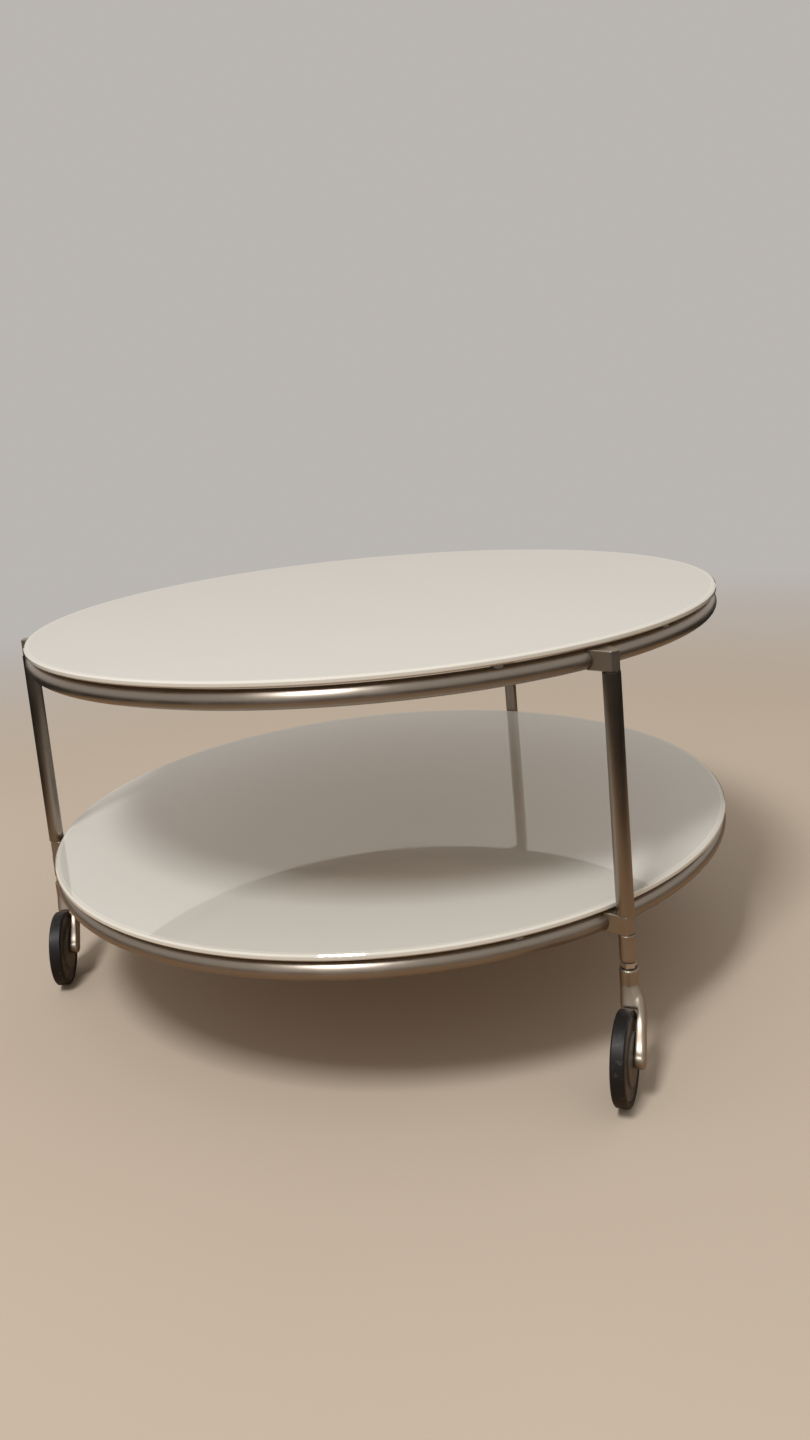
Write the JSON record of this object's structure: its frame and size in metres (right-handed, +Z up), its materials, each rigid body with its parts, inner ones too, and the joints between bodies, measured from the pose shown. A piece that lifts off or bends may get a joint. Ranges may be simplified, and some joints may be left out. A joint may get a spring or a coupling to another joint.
{
  "type": "rolling coffee table",
  "caption": "Round glass coffee table with a lower shelf of the same size, on slim tube rings and legs with swivel casters.",
  "frame": {"origin": "on the floor, on the axis that the two discs share", "axes": "+Z up; -X points at one of the three legs; -Y is the side that the reference view shows"},
  "size_m": [0.7696, 0.7826, 0.4],
  "materials": {
    "white_glass": "gloss, white enamel behind clear tempered glass",
    "clear_pad": "clear, satin",
    "nickel_tube": "polished nickel plate",
    "nickel_casting": "satin nickel plate",
    "zinc_steel": "bright zinc plate",
    "black_acetal": "matte",
    "wheel_plastic": "satin, moulded",
    "wheel_rubber": "matte, lightly scuffed"
  },
  "bodies": {
    "frame": {"table_top_glass": "white_glass", "shelf_glass": "white_glass", "top_ring": "nickel_tube", "shelf_ring": "nickel_tube", "top_pads": "clear_pad", "shelf_pads": "clear_pad", "right_top_bracket": "nickel_casting", "right_shelf_bracket": "nickel_casting", "right_leg_tube": "nickel_tube", "right_leg_stud": "zinc_steel", "right_leg_insert": "zinc_steel", "right_foot": "nickel_tube", "right_caster_stem": "zinc_steel", "right_caster_clip": "zinc_steel", "back_top_bracket": "nickel_casting", "back_shelf_bracket": "nickel_casting", "back_leg_tube": "nickel_tube", "back_leg_stud": "zinc_steel", "back_leg_insert": "zinc_steel", "back_foot": "nickel_tube", "back_caster_stem": "zinc_steel", "back_caster_clip": "zinc_steel", "left_top_bracket": "nickel_casting", "left_shelf_bracket": "nickel_casting", "left_leg_tube": "nickel_tube", "left_leg_stud": "zinc_steel", "left_leg_insert": "zinc_steel", "left_foot": "nickel_tube", "left_caster_stem": "zinc_steel", "left_caster_clip": "zinc_steel"},
    "right_caster": {"right_caster_bush": "black_acetal", "right_caster_arm": "nickel_casting", "right_axle": "zinc_steel"},
    "right_wheel": {"right_wheel_core": "wheel_plastic", "right_tyre": "wheel_rubber"},
    "back_caster": {"back_caster_bush": "black_acetal", "back_caster_arm": "nickel_casting", "back_axle": "zinc_steel"},
    "back_wheel": {"back_wheel_core": "wheel_plastic", "back_tyre": "wheel_rubber"},
    "left_caster": {"left_caster_bush": "black_acetal", "left_caster_arm": "nickel_casting", "left_axle": "zinc_steel"},
    "left_wheel": {"left_wheel_core": "wheel_plastic", "left_tyre": "wheel_rubber"}
  },
  "joints": [
    {"name": "right_swivel", "type": "hinge", "parent": "frame", "child": "right_caster", "pos_m": [0.193, -0.33429, 0.0695], "axis": [0, 0, 1], "continuous": true},
    {"name": "right_wheel_spin", "type": "hinge", "parent": "right_caster", "child": "right_wheel", "pos_m": [0.17754, -0.369, 0.04], "axis": [0.9135, -0.4067, 0], "continuous": true},
    {"name": "back_swivel", "type": "hinge", "parent": "frame", "child": "back_caster", "pos_m": [0.193, 0.33429, 0.0695], "axis": [0, 0, 1], "continuous": true},
    {"name": "back_wheel_spin", "type": "hinge", "parent": "back_caster", "child": "back_wheel", "pos_m": [0.18575, 0.29698, 0.04], "axis": [0.9816, -0.1908, 0], "continuous": true},
    {"name": "left_swivel", "type": "hinge", "parent": "frame", "child": "left_caster", "pos_m": [-0.386, 0, 0.0695], "axis": [0, 0, 1], "continuous": true},
    {"name": "left_wheel_spin", "type": "hinge", "parent": "left_caster", "child": "left_wheel", "pos_m": [-0.38467, -0.03798, 0.04], "axis": [0.9994, 0.0349, 0], "continuous": true}
  ]
}
